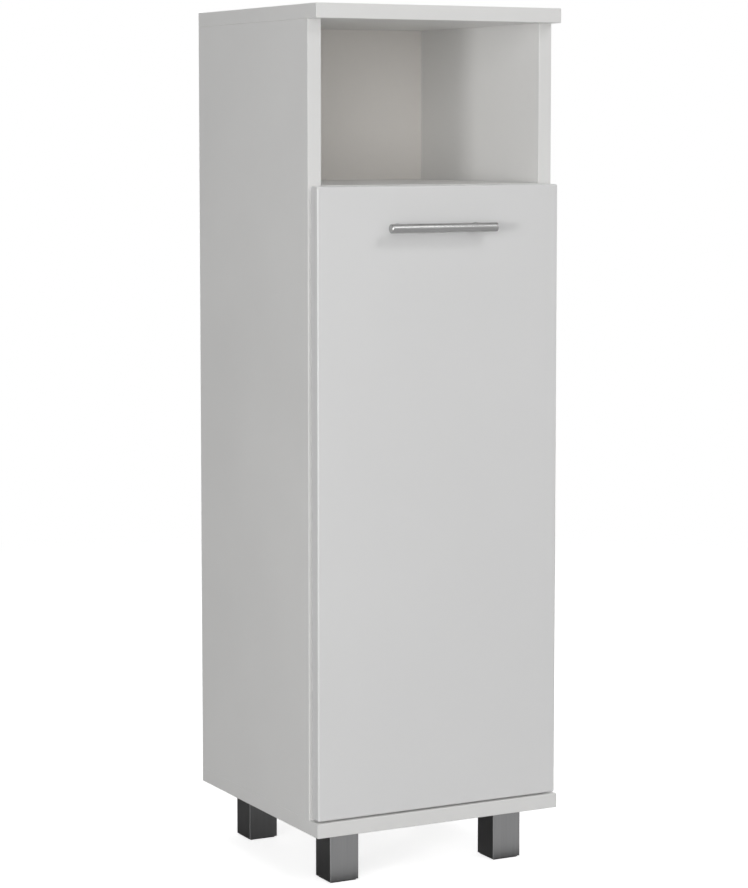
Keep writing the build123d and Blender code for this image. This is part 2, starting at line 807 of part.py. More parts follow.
# Laundry bag: a tapered open shell, hung on the four rods by sleeves
sleeve_inner = wire_radius + sleeve_fit
sleeve_outer = sleeve_inner + bag_cloth
z_bag_top = z_wire - (sleeve_inner + sleeve_outer) / 2
z_bag = z_floor + bag_above_floor
y_bag = (y_cross + y_wire_rear) / 2
bag_width = frame_width + bag_cloth
bag_depth = y_wire_rear - y_cross + bag_cloth
sleeve_width = frame_width - 2 * wire_bend - 2 * sleeve_corner_room
sleeve_depth = y_wire_rear - y_cross - 2 * wire_bend - 2 * sleeve_corner_room
bag_slope = degrees(atan(bag_taper / (z_bag_top - z_bag)))
with BuildPart() as laundry_bag:
    for inset, z_base, mode in ((0, z_bag, Mode.ADD), (bag_cloth, z_bag + bag_cloth, Mode.SUBTRACT)):
        with BuildSketch(Plane.XY.offset(z_bag_top)):
            with Locations((0, y_bag)):
                RectangleRounded(bag_width - 2 * inset, bag_depth - 2 * inset, wire_bend - inset)
        extrude(amount=z_bag_top - z_base, dir=DOWN, taper=bag_slope, mode=mode)
    sleeves = [(seat(0, y, z_wire, (1, 0, 0)), sleeve_width) for y in (y_cross, y_wire_rear)]
    sleeves += [(seat(s * wire_x, y_bag, z_wire, (0, 1, 0)), sleeve_depth) for s in SIDES.values()]
    for place, length in sleeves:
        with Locations(place):
            Cylinder(sleeve_outer, length)
            Cylinder(sleeve_inner, length, mode=Mode.SUBTRACT)
save(laundry_bag, "laundry_bag")
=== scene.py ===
"""Looks of a slim bathroom cabinet with an open niche and a tilt-out laundry front.

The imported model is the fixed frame. This script gives every board, panel and fitting its finish, models the
cloth bag, its sleeves and stitches and the screws' driven heads, and sets up the studio. All in metres.
"""

import logging
import math
import random
from dataclasses import dataclass
from enum import Enum
from typing import Any, Iterable, NamedTuple, Sequence

import bmesh
import bpy
from mathutils import Matrix, Vector, noise


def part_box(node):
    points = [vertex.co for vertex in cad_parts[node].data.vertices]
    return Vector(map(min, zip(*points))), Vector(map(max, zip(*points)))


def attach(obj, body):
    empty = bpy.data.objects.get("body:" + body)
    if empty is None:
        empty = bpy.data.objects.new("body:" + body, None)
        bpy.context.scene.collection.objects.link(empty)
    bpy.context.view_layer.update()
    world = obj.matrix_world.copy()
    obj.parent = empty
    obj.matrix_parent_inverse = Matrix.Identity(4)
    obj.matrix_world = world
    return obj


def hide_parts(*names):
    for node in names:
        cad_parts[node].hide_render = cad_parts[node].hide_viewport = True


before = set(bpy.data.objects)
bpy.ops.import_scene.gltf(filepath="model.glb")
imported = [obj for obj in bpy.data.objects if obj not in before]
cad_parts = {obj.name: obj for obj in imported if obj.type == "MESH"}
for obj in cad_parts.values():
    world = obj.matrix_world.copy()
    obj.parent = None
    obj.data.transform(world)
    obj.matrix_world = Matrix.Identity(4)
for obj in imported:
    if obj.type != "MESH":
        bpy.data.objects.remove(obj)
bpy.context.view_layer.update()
LOG = logging.getLogger("cabinet")
MM = 0.001
CABINET = "cabinet"
TILT_FRONT = "tilt_front"
UP = Vector((0.0, 0.0, 1.0))
LEVEL = Vector((1.0, 1.0, 0.0))

# Noise seldom leaves this part of 0 to 1.
NOISE_ENDS = (0.25, 0.75)
# The wave texture's length at scale 1.
WAVE_LENGTH = math.pi / 10.0
# The arms of a cross recess, as a share of its half width.
CROSS_ARM = 0.24
# A pan head's dome, as shares of its radius and of its height.
PAN_DOME = ((0.74, 0.0), (0.89, 0.14), (0.97, 0.38), (1.0, 0.7), (1.0, 1.0))
# The chamfer of a cylinder head, as a share of its radius.
HEAD_CHAMFER = 0.1

Triple = tuple[float, float, float]
Colour = Triple
Pair = tuple[float, float]
Object = bpy.types.Object
Socket = bpy.types.NodeSocket
Tree = bpy.types.NodeTree
Shape = bmesh.types.BMesh
Point = bmesh.types.BMVert


def set_all(target: Any, **values: Any) -> None:
    """Set several properties of an item."""
    for name, value in values.items():
        setattr(target, name, value)


def even(scale: float) -> Triple:
    """The same scale along every axis."""
    return (scale, scale, scale)


def scaled(colour: Colour, factor: float) -> Colour:
    """A colour made lighter, or darker where the factor is below 1."""
    return tuple(min(1.0, channel * factor) for channel in colour)


class Graph:
    """The node tree of one material or world, with short calls that add and join its nodes."""

    def __init__(
        self, tree: Tree, output: str = "Object", kind: str = "ShaderNodeTexCoord", **settings: Any
    ) -> None:
        """Start on an existing tree, with the node and the output that give its coordinates."""
        self.tree = tree
        self.where = self.node(kind, **settings).outputs[output]

    def node(self, kind: str, inputs: dict[str | int, Any] | None = None, **settings: Any) -> bpy.types.Node:
        """Add a node, set its properties, and set or join its inputs.

        Args:
            kind: Blender's name for the node type.
            inputs: Values or output sockets, by the input's name or number.
            settings: Properties of the node itself.

        Returns:
            The new node.
        """
        made = self.tree.nodes.new(kind)
        set_all(made, **settings)
        for key, value in (inputs or {}).items():
            self.put(made.inputs[key], value)
        return made

    def put(self, socket: Socket, value: Any) -> None:
        """Set a socket to a constant, or join an output socket to it.

        Args:
            socket: The input to fill.
            value: A constant or an output socket.
        """
        if isinstance(value, Socket):
            self.tree.links.new(value, socket)
        else:
            socket.default_value = value

    def math(self, operation: str, first: Any, second: Any = 0.0) -> Socket:
        """One sum of two numbers or sockets, by Blender's name for the sum."""
        return self.node("ShaderNodeMath", {0: first, 1: second}, operation=operation).outputs[0]

    def axes(self) -> Any:
        """The sockets of the coordinates along X, Y and Z, by name."""
        return self.node("ShaderNodeSeparateXYZ", {"Vector": self.where}).outputs

    def ramp(self, value: Socket, ends: Pair, levels: Pair, soft: bool = True) -> Socket:
        """Turn a value between two ends into one between two levels.

        Args:
            value: The value's socket.
            ends: Where the ramp starts and where it ends.
            levels: The result at its start and at its end.
            soft: Whether it starts and ends gently.

        Returns:
            The result's socket.
        """
        inputs = dict(zip(("Value", "From Min", "From Max", "To Min", "To Max"), (value, *ends, *levels)))
        made = self.node("ShaderNodeMapRange", inputs, interpolation_type="SMOOTHSTEP" if soft else "LINEAR")
        return made.outputs["Result"]

    def spread(self, value: Socket, low: float = 0.0, high: float = 1.0) -> Socket:
        """Stretch a noise value over a range."""
        return self.ramp(value, NOISE_ENDS, (low, high), soft=False)

    def noise(self, scale: Triple, detail: float) -> Socket:
        """Noise with its own scale along each axis.

        Args:
            scale: Repeats per metre along X, Y and Z.
            detail: How many finer layers are added.

        Returns:
            The noise value's socket.
        """
        mapping = self.node("ShaderNodeMapping", {"Vector": self.where, "Scale": scale})
        inputs = {"Vector": mapping.outputs["Vector"], "Scale": 1.0, "Detail": detail}
        return self.node("ShaderNodeTexNoise", inputs).outputs["Fac"]

    def mix(self, share: Any, first: Any, second: Any) -> Socket:
        """Blend two colours.

        Args:
            share: How much of the second colour shows.
            first: The colour where share is 0.
            second: The colour where share is 1.

        Returns:
            The blended colour's socket.
        """
        made = self.node("ShaderNodeMix", data_type="RGBA")
        self.put(made.inputs["Factor"], share)
        colours = [socket for socket in made.inputs if socket.type == "RGBA"]
        for socket, value in zip(colours, (first, second)):
            self.put(socket, (*value, 1.0) if isinstance(value, tuple) else value)
        return next(socket for socket in made.outputs if socket.type == "RGBA")

    def mottled(self, colour: Colour, share: float, scale: Triple, detail: float) -> Socket:
        """A colour that noise makes darker and lighter by a share."""
        patches = self.spread(self.noise(scale, detail))
        return self.mix(patches, scaled(colour, 1.0 - share), scaled(colour, 1.0 + share))


@dataclass(frozen=True)
class Finish:
    """A surface with a mottled colour, a grain and an uneven gloss."""

    colour: Colour
    roughness: float
    mottle: float = 0.02
    mottle_scale: Triple = even(40.0)
    mottle_detail: float = 3.0
    grain_scale: Triple = even(900.0)
    grain_detail: float = 2.0
    grain_depth: float = 0.02 * MM
    gloss_spread: float = 0.05
    gloss_detail: float = 2.0
    metallic: float = 0.0
    coat: float = 0.0
    sheen: float = 0.0

    def graph(self, tree: Tree) -> Graph:
        """The material's nodes, on the object's own coordinates, in metres."""
        return Graph(tree)

    def colours(self, graph: Graph) -> Socket:
        """The mottled colour."""
        return graph.mottled(self.colour, self.mottle, self.mottle_scale, self.mottle_detail)

    def height(self, graph: Graph) -> Socket:
        """The grain's height."""
        return graph.noise(self.grain_scale, self.grain_detail)

    def material(self, name: str) -> bpy.types.Material:
        """Build the finish as a material.

        Args:
            name: The material's name.

        Returns:
            The new material.
        """
        made = bpy.data.materials.new(name)
        made.use_nodes = True
        graph = self.graph(made.node_tree)
        bump = {"Strength": 1.0, "Distance": self.grain_depth, "Height": self.height(graph)}
        gloss = graph.noise(self.mottle_scale, self.gloss_detail)
        low, high = self.roughness - self.gloss_spread, self.roughness + self.gloss_spread
        inputs = {
            "Base Color": self.colours(graph),
            "Roughness": graph.spread(gloss, low, high),
            "Normal": graph.node("ShaderNodeBump", bump).outputs["Normal"],
            "Metallic": self.metallic,
            "Coat Weight": self.coat,
            "Sheen Weight": self.sheen,
        }
        shader = made.node_tree.nodes["Principled BSDF"]
        for key, value in inputs.items():
            graph.put(shader.inputs[key], value)
        return made


@dataclass(frozen=True)
class BandedBoard(Finish):
    """Coated board with a fine joint line where its edge bands meet the faces."""

    low: Triple = even(0.0)
    high: Triple = even(0.0)
    banded: tuple[bool, bool, bool] = (True, True, False)
    band: float = 0.9 * MM
    line: float = 0.12 * MM
    line_shade: float = 0.86

    def colours(self, graph: Graph) -> Socket:
        """The mottled coat, darkened in the joint lines.

        Args:
            graph: The material's nodes.

        Returns:
            The colour's socket.
        """
        coat = super().colours(graph)
        axes = graph.axes()
        joint: Any = 0.0
        for axis, low, high, banded in zip("XYZ", self.low, self.high, self.banded):
            for plane in (low + self.band, high - self.band) if banded else ():
                away = graph.math("ABSOLUTE", graph.math("SUBTRACT", axes[axis], plane))
                joint = graph.math("MAXIMUM", joint, graph.math("LESS_THAN", away, self.line))
        return graph.mix(joint, coat, scaled(self.colour, self.line_shade))


@dataclass(frozen=True)
class CoatedHardboard(Finish):
    """Thin fibre board: coated towards the front, bare brown fibre behind."""

    bare: Colour = (0.30, 0.19, 0.105)
    coat_ends: float = 0.0
    fibre_mottle: float = 0.22
    fibre_scale: Triple = (260.0, 260.0, 700.0)
    fibre_detail: float = 6.0

    def colours(self, graph: Graph) -> Socket:
        """The coat's colour in front of a plane and the fibres' behind it.

        Args:
            graph: The material's nodes.

        Returns:
            The colour's socket.
        """
        coat = super().colours(graph)
        bare = graph.mottled(self.bare, self.fibre_mottle, self.fibre_scale, self.fibre_detail)
        behind = graph.math("GREATER_THAN", graph.axes()["Y"], self.coat_ends)
        return graph.mix(behind, coat, bare)


@dataclass(frozen=True)
class WovenCloth(Finish):
    """Plain weave, drawn on the cloth's own flat coordinates, in metres."""

    thread: float = 1.1 * MM
    thread_shows: float = 0.6
    # Painted shade between the threads, as a share of the cloth's colour.
    painted_gap_shade: float = 0.72
    wander: float = 0.4
    wander_detail: float = 1.0
    slub_along: float = 90.0
    slub_across: float = 900.0
    yarn_dark: float = 0.86
    yarn_light: float = 1.10

    def graph(self, tree: Tree) -> Graph:
        """The material's nodes, on the cloth's flat coordinates."""
        return Graph(tree, "UV", "ShaderNodeUVMap", uv_map="cut")

    def threads(self, graph: Graph, direction: str) -> Socket:
        """Ridges of the threads that run one way.

        Args:
            graph: The material's nodes.
            direction: The axis that the ridges follow each other along.

        Returns:
            The ridges' socket.
        """
        inputs = {"Vector": graph.where, "Scale": WAVE_LENGTH / self.thread}
        inputs |= {"Distortion": self.wander, "Detail": self.wander_detail}
        wave = graph.node("ShaderNodeTexWave", inputs, bands_direction=direction, wave_profile="SIN")
        return wave.outputs["Fac"]

    def colours(self, graph: Graph) -> Socket:
        """Uneven yarn, with painted shade between the threads.

        Args:
            graph: The material's nodes.

        Returns:
            The colour's socket.
        """
        warp = graph.noise((self.slub_across, self.slub_along, 1.0), self.mottle_detail)
        weft = graph.noise((self.slub_along, self.slub_across, 1.0), self.mottle_detail)
        yarn = graph.spread(graph.math("MULTIPLY", graph.math("ADD", warp, weft), 0.5))
        dyed = graph.mix(yarn, scaled(self.colour, self.yarn_dark), scaled(self.colour, self.yarn_light))
        # Painted shade: where the weave is low, between the threads, the colour is darkened.
        shown = graph.math("MULTIPLY", self.height(graph), self.thread_shows)
        return graph.mix(shown, scaled(self.colour, self.painted_gap_shade), dyed)

    def height(self, graph: Graph) -> Socket:
        """Threads that cross."""
        return graph.math("MAXIMUM", self.threads(graph, "X"), self.threads(graph, "Y"))


WHITE: Colour = (0.86, 0.857, 0.845)
WARM_WHITE: Colour = (0.89, 0.86, 0.823)
COAT = {"roughness": 0.42, "mottle": 0.012, "mottle_scale": even(9.0)}
FRONT_COAT = Finish((0.82, 0.82, 0.818), 0.36, mottle=0.008, mottle_scale=even(6.0), grain_depth=0.01 * MM)
SATIN_STEEL = Finish(
    (0.42, 0.42, 0.417), 0.25, mottle=0.05, mottle_scale=(14.0, 900.0, 900.0),
    grain_scale=(40.0, 6000.0, 6000.0), grain_depth=0.006 * MM, gloss_spread=0.06, metallic=1.0,
)
LEG_METAL = Finish(
    (0.34, 0.34, 0.344), 0.33, mottle=0.05, mottle_scale=(700.0, 700.0, 10.0),
    grain_scale=(4000.0, 4000.0, 30.0), grain_depth=0.005 * MM, gloss_spread=0.05, metallic=1.0,
)
ZINC_PLATE = Finish(
    (0.56, 0.565, 0.57), 0.36, mottle=0.08, mottle_scale=even(420.0),
    grain_scale=even(2600.0), grain_depth=0.008 * MM, gloss_spread=0.08, metallic=1.0,
)
NICKEL_PLATE = Finish(
    (0.67, 0.655, 0.62), 0.20, mottle=0.03, mottle_scale=even(180.0),
    grain_scale=even(1500.0), grain_depth=0.003 * MM, gloss_spread=0.04, metallic=1.0,
)
WHITE_PLASTIC = Finish((0.76, 0.76, 0.745), 0.40, grain_scale=even(1800.0), mottle=0.015)
GREY_PLASTIC = Finish((0.30, 0.30, 0.31), 0.45, grain_scale=even(1600.0), mottle=0.03)
BLACK_PLASTIC = Finish((0.022, 0.022, 0.022), 0.50, grain_scale=even(1600.0), mottle=0.06)
MAGNET = Finish((0.06, 0.06, 0.062), 0.55, mottle=0.12, mottle_scale=even(900.0), metallic=0.6)
CLEAR_RUBBER = Finish((0.68, 0.68, 0.66), 0.28, mottle=0.03, mottle_scale=even(300.0), coat=0.3)
BEECH = Finish(
    (0.52, 0.33, 0.17), 0.62, mottle=0.16, mottle_scale=even(300.0),
    grain_scale=even(1400.0), grain_depth=0.05 * MM,
)
BAG_CLOTH = WovenCloth((0.60, 0.565, 0.50), 0.88, grain_depth=0.1 * MM, gloss_spread=0.04, sheen=0.25)
BAG_TAPE = WovenCloth(
    (0.50, 0.465, 0.40), 0.85, grain_depth=0.12 * MM, gloss_spread=0.04, sheen=0.2, thread=0.8 * MM
)
THREAD = Finish((0.66, 0.63, 0.57), 0.75, mottle=0.08, mottle_scale=even(900.0), sheen=0.3)


def dress(nodes: Iterable[str], material: bpy.types.Material) -> None:
    """Give CAD nodes their finish.

    Args:
        nodes: The nodes' names.
        material: The finish.
    """
    for name in nodes:
        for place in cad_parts[name].material_slots:
            place.material = material
        LOG.info("dressed %s with %s", name, material.name)


def piece_from(name: str, shape: Shape, material: bpy.types.Material) -> Object:
    """Turn finished geometry into an object of the scene.

    Args:
        name: The piece's name.
        shape: The geometry, which is freed.
        material: The piece's finish.

    Returns:
        The new object, smoothly shaded.
    """
    mesh = bpy.data.meshes.new(name)
    shape.normal_update()
    shape.to_mesh(mesh)
    shape.free()
    mesh.materials.append(material)
    mesh.shade_smooth()
    made = bpy.data.objects.new(name, mesh)
    bpy.context.scene.collection.objects.link(made)
    return made


def bake_modifiers(piece: Object) -> None:
    """Replace a piece's mesh by what its modifiers make of it.

    Args:
        piece: The piece, which keeps no modifier.
    """
    seen = piece.evaluated_get(bpy.context.evaluated_depsgraph_get())
    old, piece.data = piece.data, bpy.data.meshes.new_from_object(seen)
    piece.modifiers.clear()
    bpy.data.meshes.remove(old)


def grid_faces(shape: Shape, rows: Sequence[Sequence[Point]], closed: bool) -> list[bmesh.types.BMFace]:
    """Join rows of points with four-sided faces.

    Args:
        shape: The geometry that holds the points.
        rows: Rows of the same number of points.
        closed: Whether each row ends where it starts.

    Returns:
        The new faces, row by row.
    """
    made = []
    for above, below in zip(rows, rows[1:]):
        count = len(above)
        for i in range(count if closed else count - 1):
            j = (i + 1) % count
            made.append(shape.faces.new((above[i], below[i], below[j], above[j])))
    return made


def tube(shape: Shape, path: Sequence[Vector], radius: float, sides: int, closed: bool) -> None:
    """Add a round tube along a path that is nowhere upright.

    Args:
        shape: The geometry that the tube joins.
        path: Points along the tube's middle.
        radius: The tube's radius.
        sides: Points round the tube.
        closed: Whether the path ends where it starts.
    """
    count = len(path)
    rings = []
    for i, point in enumerate(path):
        before = path[i - 1] if closed or i else point
        after = path[(i + 1) % count] if closed or i < count - 1 else point
        along = (after - before).normalized()
        side = along.cross(UP).normalized()
        up = side.cross(along)
        turns = (2 * math.pi * k / sides for k in range(sides))
        ring = [point + radius * (math.cos(t) * side + math.sin(t) * up) for t in turns]
        rings.append([shape.verts.new(place) for place in ring])
    grid_faces(shape, rings + rings[:1] if closed else rings, closed=True)
    if not closed:
        shape.faces.new(rings[0])
        shape.faces.new(reversed(rings[-1]))


@dataclass
class Carcass:
    """Boards, back panel and the fittings that join them."""

    boards: tuple[str, ...] = ("top_board", "bottom_board", "left_side", "right_side", "niche_shelf")
    plain: tuple[str, ...] = ("left_side", "right_side", "niche_shelf")
    metal: tuple[str, ...] = ("shelf_cam_bolts", "shelf_cams")

    def board_finish(self, name: str) -> BandedBoard:
        """The coat of one board, with its joint lines along the banded edges."""
        low, high = map(tuple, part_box(name))
        return BandedBoard(WHITE, **COAT, low=low, high=high, banded=(name not in self.plain, True, False))

    def dress(self) -> None:
        """Give every board and fitting its finish."""
        for name in self.boards:
            dress([name], self.board_finish(name).material(f"coated_{name}"))
        low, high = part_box("back_panel")
        back = CoatedHardboard(WARM_WHITE, **COAT, coat_ends=(low.y + high.y) / 2)
        dress(["back_panel"], back.material("coated_hardboard"))
        dress(["top_plugs"], WHITE_PLASTIC.material("plug_plastic"))
        dress(["dowels"], BEECH.material("beech"))
        dress(self.metal, ZINC_PLATE.material("zinc_fittings"))


@dataclass
class LegSet:
    """The square legs with their sockets, bolts and glides."""

    legs: tuple[str, ...] = ("leg_front_left", "leg_front_right", "leg_rear_left", "leg_rear_right")

    def dress(self) -> None:
        """Give every leg piece its finish."""
        dress(self.legs, LEG_METAL.material("leg_metal"))
        dress(["leg_sockets"], GREY_PLASTIC.material("socket_plastic"))
        dress(["leg_bolts"], ZINC_PLATE.material("zinc_bolts"))
        dress(["leg_glides"], BLACK_PLASTIC.material("glide_plastic"))


@dataclass
class FrontPanel:
    """The tilting panel with its bar handle."""

    handle: tuple[str, ...] = ("handle_bar", "handle_posts")

    def dress(self) -> None:
        """Give panel and handle their finish."""
        dress(["front_panel"], FRONT_COAT.material("front_coat"))
        dress(self.handle, SATIN_STEEL.material("satin_steel"))


@dataclass
class TiltFittings:
    """Hinges, stays, catch, bumpers and the bag's wire frame."""

    nickel: tuple[str, ...] = ("hinge_cup_left", "hinge_cup_right", "hinge_arm_left", "hinge_arm_right")
    zinc: tuple[str, ...] = ("hinge_pins", "stay_left", "stay_right", "strike_plate")
    plastic: tuple[str, ...] = ("stay_guide_left", "stay_guide_right", "catch_housing", "frame_clips")

    def dress(self) -> None:
        """Give every fitting its finish."""
        dress(self.nickel, NICKEL_PLATE.material("nickel_plate"))
        dress(self.zinc, ZINC_PLATE.material("zinc_plate"))
        dress(self.plastic, WHITE_PLASTIC.material("fitting_plastic"))
        dress(["catch_magnet"], MAGNET.material("magnet"))
        dress(["bumpers"], CLEAR_RUBBER.material("clear_rubber"))
        dress(["bag_frame"], SATIN_STEEL.material("frame_wire"))


class Drive(Enum):
    """The recess in a screw's head."""

    CROSS = "cross"
    HEXAGON = "hexagon"

    def outline(self, size: float) -> list[Pair]:
        """The recess's outline.

        Args:
            size: Half the recess's greatest width.

        Returns:
            The outline's corners, in order.
        """
        if self is Drive.HEXAGON:
            return [(size * math.cos(k * math.pi / 3), size * math.sin(k * math.pi / 3)) for k in range(6)]
        arm = CROSS_ARM * size
        corners = []
        for k in range(4):
            c, s = math.cos(k * math.pi / 2), math.sin(k * math.pi / 2)
            for x, y in ((size, -arm), (size, arm), (arm, arm)):
                corners.append((c * x - s * y, s * x + c * y))
        return corners


class HeadForm(Enum):
    """The outline of a screw's head, seen from the side."""

    COUNTERSUNK = "countersunk"
    PAN = "pan"
    CYLINDER = "cylinder"

    def profile(self, radius: float, height: float, shank: float) -> list[Pair]:
        """The head's side, from its flat top to the shank.

        Args:
            radius: The head's radius.
            height: The head's height.
            shank: The shank's radius.

        Returns:
            Pairs of a radius and a depth under the head's top.
        """
        if self is HeadForm.COUNTERSUNK:
            return [(radius, 0.0), (shank, height)]
        if self is HeadForm.PAN:
            return [(radius * r, height * h) for r, h in PAN_DOME] + [(shank, height)]
        edge = HEAD_CHAMFER * radius
        return [(radius - edge, 0.0), (radius, edge), (radius, height), (shank, height)]


class ScrewPlace(NamedTuple):
    """The middle of a screw's head, the way the head points, its radius and the screw's length."""

    head: Vector
    way: Vector
    radius: float
    length: float


@dataclass
class ScrewSet:
    """Screws of one kind, with driven heads and threaded shanks, in place of plain ones."""

    nodes: dict[str, str]
    form: HeadForm
    drive: Drive
    head_height: float
    shank: float
    pitch: float
    thread_depth: float
    recess: float
    recess_depth: float
    recess_draft: float = 0.6
    valley_power: int = 3
    tip_turns: float = 2.5
    tip_radius: float = 0.1 * MM
    rows_per_turn: int = 5
    sides: int = 24
    decimals: int = 6
    sharp_angle: float = math.radians(35)
    slot: str = "zinc_steel"

    def places(self, node: str) -> list[ScrewPlace]:
        """Find the screws of a CAD node, as its groups of joined points.

        Args:
            node: The node that holds them.

        Returns:
            Each screw's place.
        """
        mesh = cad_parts[node].data
        spots: dict[tuple[float, ...], int] = {}
        rounded = (tuple(round(c, self.decimals) for c in v.co) for v in mesh.vertices)
        ids = [spots.setdefault(spot, len(spots)) for spot in rounded]
        leader = list(range(len(spots)))

        def lead(i: int) -> int:
            """Follow a point to the first one of its group.

            Args:
                i: The point's number.

            Returns:
                The first one's number.
            """
            while leader[i] != i:
                leader[i] = leader[leader[i]]
                i = leader[i]
            return i

        for polygon in mesh.polygons:
            first = lead(ids[polygon.vertices[0]])
            for vertex in polygon.vertices[1:]:
                leader[lead(ids[vertex])] = first
        groups: dict[int, list[Vector]] = {}
        for spot, i in spots.items():
            groups.setdefault(lead(i), []).append(Vector(spot))
        return [self.measure(points) for points in groups.values()]

    def measure(self, points: Sequence[Vector]) -> ScrewPlace:
        """Read one screw's place from its points.

        Args:
            points: The points of its solid.

        Returns:
            Its place.
        """
        low = Vector(min(p[k] for p in points) for k in range(3))
        high = Vector(max(p[k] for p in points) for k in range(3))
        size = high - low
        axis = max(range(3), key=lambda k: size[k])
        middle = (low + high) / 2
        radius = max(size[k] for k in range(3) if k != axis) / 2
        widest = max(points, key=lambda p: (p - middle).length - abs(p[axis] - middle[axis]) / 2)
        way = Vector()
        way[axis] = math.copysign(1.0, widest[axis] - middle[axis])
        return ScrewPlace(middle + way * size[axis] / 2, way, radius, size[axis])

    def thread(self, depth: float, length: float) -> list[float]:
        """The shank's radii, which follow its thread and end in a tip.

        Args:
            depth: How far under the head's top.
            length: The screw's length.

        Returns:
            The radius at each point round the shank.
        """
        fade = min(1.0, (length - depth) / (self.tip_turns * self.pitch))
        turns = [k / self.sides for k in range(self.sides)]
        ridges = [abs(2 * ((-depth / self.pitch - turn) % 1.0) - 1) for turn in turns]
        radii = [self.shank - self.thread_depth * (1 - ridge**self.valley_power) for ridge in ridges]
        return [fade * radius + self.tip_radius * (1 - fade) for radius in radii]

    def add(self, shape: Shape, screw: ScrewPlace) -> None:
        """Add one screw.

        Args:
            shape: The geometry that it joins.
            screw: Its place.
        """
        turn = UP.rotation_difference(screw.way).to_matrix().to_4x4()
        place = Matrix.Translation(screw.head) @ turn

        def points(flat: Iterable[Pair], depth: float) -> list[Point]:
            """Add points at a depth under the head's top."""
            return [shape.verts.new(place @ Vector((x, y, -depth))) for x, y in flat]

        profile = self.form.profile(screw.radius, self.head_height, self.shank)
        rings = [([radius] * self.sides, depth) for radius, depth in profile]
        bare = screw.length - self.head_height
        count = int(bare / self.pitch * self.rows_per_turn)
        depths = (self.head_height + bare * k / count for k in range(1, count + 1))
        rings += [(self.thread(depth, screw.length), depth) for depth in depths]
        angles = [2 * math.pi * (k / self.sides) for k in range(self.sides)]
        rows = [
            points(((r * math.cos(a), r * math.sin(a)) for r, a in zip(radii, angles)), depth)
            for radii, depth in rings
        ]
        grid_faces(shape, rows, closed=True)
        shape.faces.new(rows[-1])
        outline = self.drive.outline(self.recess)
        draft = self.recess_draft
        mouth = points(outline, 0.0)
        floor = points(((x * draft, y * draft) for x, y in outline), self.recess_depth)
        grid_faces(shape, [mouth, floor], closed=True)
        shape.faces.new(floor)
        edges = [
            shape.edges.get((a, b)) or shape.edges.new((a, b))
            for loop in (rows[0], mouth)
            for a, b in zip(loop, loop[1:] + loop[:1])
        ]
        bmesh.ops.triangle_fill(shape, edges=edges, use_beauty=True, use_dissolve=False)

    def build(self) -> None:
        """Model the screws of every node."""
        zinc = ZINC_PLATE.material(f"zinc_{self.form.value}_screws")
        for node, body in self.nodes.items():
            shape = bmesh.new()
            found = self.places(node)
            for screw in found:
                self.add(shape, screw)
            bmesh.ops.recalc_face_normals(shape, faces=shape.faces[:])
            made = piece_from(f"{node}_driven", shape, zinc)
            made.data.set_sharp_from_angle(angle=self.sharp_angle)
            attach(made, body)
            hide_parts(node)
            LOG.info("modelled %d screws of %s", len(found), node)


WOOD_SCREWS = ScrewSet(
    nodes={
        "leg_socket_screws": CABINET,
        "hinge_arm_screws": CABINET,
        "stay_guide_screws": CABINET,
        "catch_screws": CABINET,
        "hinge_cup_screws": TILT_FRONT,
        "stay_screws": TILT_FRONT,
        "frame_clip_screws": TILT_FRONT,
        "strike_screw": TILT_FRONT,
    },
    form=HeadForm.COUNTERSUNK, drive=Drive.CROSS, head_height=1.75 * MM, shank=1.75 * MM,
    pitch=1.6 * MM, thread_depth=0.4 * MM, recess=2.0 * MM, recess_depth=1.5 * MM,
)
HANDLE_SCREWS = ScrewSet(
    nodes={"handle_screws": TILT_FRONT},
    form=HeadForm.PAN, drive=Drive.CROSS, head_height=2.4 * MM, shank=2.0 * MM,
    pitch=0.9 * MM, thread_depth=0.25 * MM, recess=2.2 * MM, recess_depth=1.6 * MM,
)
CONNECTOR_SCREWS = ScrewSet(
    nodes={"connector_screws": CABINET},
    form=HeadForm.CYLINDER, drive=Drive.HEXAGON, head_height=3.0 * MM, shank=3.0 * MM,
    pitch=3.0 * MM, thread_depth=0.7 * MM, recess=2.3 * MM, recess_depth=2.4 * MM, recess_draft=0.97,
)


class RodRun(NamedTuple):
    """A rod's covered run: its middle, the way it runs, the way out of the bag and its length."""

    middle: Vector
    along: Vector
    out: Vector
    length: float


